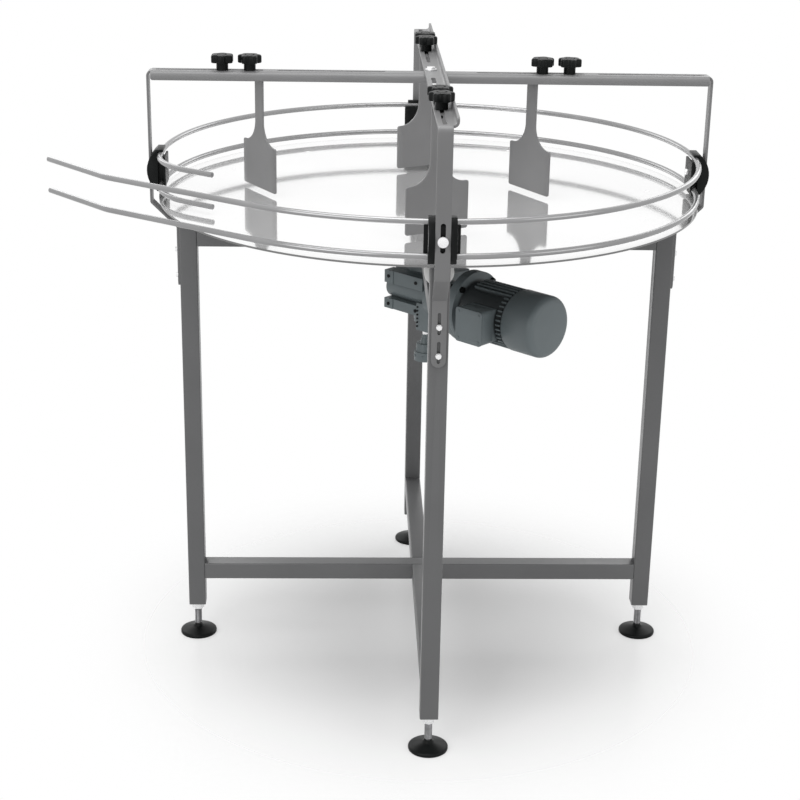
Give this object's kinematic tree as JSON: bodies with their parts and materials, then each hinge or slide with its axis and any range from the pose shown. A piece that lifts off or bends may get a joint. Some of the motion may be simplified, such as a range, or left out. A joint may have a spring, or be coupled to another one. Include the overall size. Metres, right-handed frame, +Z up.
{
  "type": "rotary accumulation table",
  "caption": "Round motor-driven table that gathers bottles between guide rails, with hanging deflector plates, an infeed channel and levelling feet.",
  "frame": {"origin": "centre of the turning disc's top face", "axes": "+Z up, -Y to the front, the infeed channel at the -X side"},
  "size_m": [1.4627, 1.254, 1.4137],
  "materials": {
    "tube_steel": "bead-blasted",
    "sheet_steel": "bead-blasted",
    "rail_steel": "ground",
    "disc_steel": "polished",
    "bright_steel": "zinc plated",
    "black_plastic": "fine grain",
    "roller_plastic": "turned",
    "drive_paint": "semi-gloss paint",
    "black_steel": "black oxide",
    "bronze": "machined",
    "core_iron": "varnished"
  },
  "bodies": {
    "base": {"leg_front": "tube_steel", "leg_right": "tube_steel", "leg_back": "tube_steel", "leg_left": "tube_steel", "upper_beams": "tube_steel", "lower_braces": "tube_steel", "leg_plugs": "black_plastic", "foot_lock_nuts": "bright_steel", "bearing_housing": "tube_steel", "drive_plate": "tube_steel", "shaft_bearings": "bright_steel", "roller_axles": "bright_steel", "bracket_bolts": "bright_steel", "gearbox_casing": "drive_paint", "gearbox_covers": "drive_paint", "drive_screws": "black_steel", "motor_housing": "drive_paint", "stator_core": "core_iron", "fan_cowl": "drive_paint", "terminal_box": "drive_paint", "terminal_lid": "drive_paint", "cable_gland": "black_plastic"},
    "turntable": {"disc_plate": "disc_steel", "track_ring": "tube_steel", "hub_flange": "tube_steel", "drive_shaft": "bright_steel", "disc_screws": "bright_steel", "worm_wheel": "bronze", "slip_clutch": "drive_paint"},
    "rotor": {"rotor_shaft": "bright_steel", "cooling_fan": "black_plastic"},
    "gantry": {"gantry_left_right": "sheet_steel", "gantry_front_back": "sheet_steel", "crossing_bolt": "bright_steel"},
    "rail_set": {"upper_rail": "rail_steel", "lower_rail": "rail_steel", "clamp_bodies": "black_plastic", "clamp_plates": "black_plastic", "clamp_bolts": "bright_steel"},
    "roller_right": {"roller_right": "roller_plastic"},
    "deflector_right": {"deflector_right": "sheet_steel"},
    "knob_right_inner": {"knob_right_inner": "black_plastic"},
    "knob_right_outer": {"knob_right_outer": "black_plastic"},
    "foot_right": {"foot_right": "black_plastic"},
    "roller_back": {"roller_back": "roller_plastic"},
    "deflector_back": {"deflector_back": "sheet_steel"},
    "knob_back_inner": {"knob_back_inner": "black_plastic"},
    "knob_back_outer": {"knob_back_outer": "black_plastic"},
    "foot_back": {"foot_back": "black_plastic"},
    "roller_left": {"roller_left": "roller_plastic"},
    "deflector_left": {"deflector_left": "sheet_steel"},
    "knob_left_inner": {"knob_left_inner": "black_plastic"},
    "knob_left_outer": {"knob_left_outer": "black_plastic"},
    "foot_left": {"foot_left": "black_plastic"},
    "roller_front": {"roller_front": "roller_plastic"},
    "deflector_front": {"deflector_front": "sheet_steel"},
    "knob_front_inner": {"knob_front_inner": "black_plastic"},
    "knob_front_outer": {"knob_front_outer": "black_plastic"},
    "foot_front": {"foot_front": "black_plastic"}
  },
  "joints": [
    {"name": "turntable_spin", "type": "hinge", "parent": "base", "child": "turntable", "pos_m": [0, 0, 0], "axis": [0, 0, 1], "continuous": true},
    {"name": "rotor_spin", "type": "hinge", "parent": "base", "child": "rotor", "pos_m": [-0.03535, -0.03535, -0.215], "axis": [0.7071, -0.7071, 0], "continuous": true},
    {"name": "gantry_height", "type": "slide", "parent": "base", "child": "gantry", "axis": [0, 0, 1], "range_m": [-0.002, 0.011]},
    {"name": "rail_height", "type": "slide", "parent": "gantry", "child": "rail_set", "axis": [0, 0, 1], "range_m": [-0.0015, 0.03]},
    {"name": "roller_right_spin", "type": "hinge", "parent": "base", "child": "roller_right", "pos_m": [0.505, 0, -0.0373], "axis": [1, 0, 0], "continuous": true},
    {"name": "deflector_right_slide", "type": "slide", "parent": "gantry", "child": "deflector_right", "axis": [1, 0, 0], "range_m": [-0.138, 0.026]},
    {"name": "knob_right_inner_turn", "type": "hinge", "parent": "deflector_right", "child": "knob_right_inner", "pos_m": [0.245, 0, 0.29], "axis": [0, 0, 1], "range_deg": [0, 180]},
    {"name": "knob_right_outer_turn", "type": "hinge", "parent": "deflector_right", "child": "knob_right_outer", "pos_m": [0.305, 0, 0.29], "axis": [0, 0, 1], "range_deg": [0, 180]},
    {"name": "foot_right_extend", "type": "slide", "parent": "base", "child": "foot_right", "axis": [0, 0, -1], "range_m": [0, 0.03]},
    {"name": "roller_back_spin", "type": "hinge", "parent": "base", "child": "roller_back", "pos_m": [0, 0.505, -0.0373], "axis": [0, 1, 0], "continuous": true},
    {"name": "deflector_back_slide", "type": "slide", "parent": "gantry", "child": "deflector_back", "axis": [0, 1, 0], "range_m": [-0.138, 0.008]},
    {"name": "knob_back_inner_turn", "type": "hinge", "parent": "deflector_back", "child": "knob_back_inner", "pos_m": [0, 0.263, 0.29], "axis": [0, 0, 1], "range_deg": [0, 180]},
    {"name": "knob_back_outer_turn", "type": "hinge", "parent": "deflector_back", "child": "knob_back_outer", "pos_m": [0, 0.323, 0.29], "axis": [0, 0, 1], "range_deg": [0, 180]},
    {"name": "foot_back_extend", "type": "slide", "parent": "base", "child": "foot_back", "axis": [0, 0, -1], "range_m": [0, 0.03]},
    {"name": "roller_left_spin", "type": "hinge", "parent": "base", "child": "roller_left", "pos_m": [-0.505, 0, -0.0373], "axis": [-1, 0, 0], "continuous": true},
    {"name": "deflector_left_slide", "type": "slide", "parent": "gantry", "child": "deflector_left", "axis": [-1, 0, 0], "range_m": [-0.024, 0.125]},
    {"name": "knob_left_inner_turn", "type": "hinge", "parent": "deflector_left", "child": "knob_left_inner", "pos_m": [-0.397, 0, 0.29], "axis": [0, 0, 1], "range_deg": [0, 180]},
    {"name": "knob_left_outer_turn", "type": "hinge", "parent": "deflector_left", "child": "knob_left_outer", "pos_m": [-0.457, 0, 0.29], "axis": [0, 0, 1], "range_deg": [0, 180]},
    {"name": "foot_left_extend", "type": "slide", "parent": "base", "child": "foot_left", "axis": [0, 0, -1], "range_m": [0, 0.03]},
    {"name": "roller_front_spin", "type": "hinge", "parent": "base", "child": "roller_front", "pos_m": [0, -0.505, -0.0373], "axis": [0, -1, 0], "continuous": true},
    {"name": "deflector_front_slide", "type": "slide", "parent": "gantry", "child": "deflector_front", "axis": [0, -1, 0], "range_m": [-0.019, 0.125]},
    {"name": "knob_front_inner_turn", "type": "hinge", "parent": "deflector_front", "child": "knob_front_inner", "pos_m": [0, -0.392, 0.29], "axis": [0, 0, 1], "range_deg": [0, 180]},
    {"name": "knob_front_outer_turn", "type": "hinge", "parent": "deflector_front", "child": "knob_front_outer", "pos_m": [0, -0.452, 0.29], "axis": [0, 0, 1], "range_deg": [0, 180]},
    {"name": "foot_front_extend", "type": "slide", "parent": "base", "child": "foot_front", "axis": [0, 0, -1], "range_m": [0, 0.03]}
  ],
  "couplings": [
    {"joint": "rotor_spin", "follows": "turntable_spin", "ratio": 40},
    {"joint": "roller_right_spin", "follows": "turntable_spin", "ratio": -16.833},
    {"joint": "roller_back_spin", "follows": "turntable_spin", "ratio": -16.833},
    {"joint": "roller_left_spin", "follows": "turntable_spin", "ratio": -16.833},
    {"joint": "roller_front_spin", "follows": "turntable_spin", "ratio": -16.833}
  ]
}
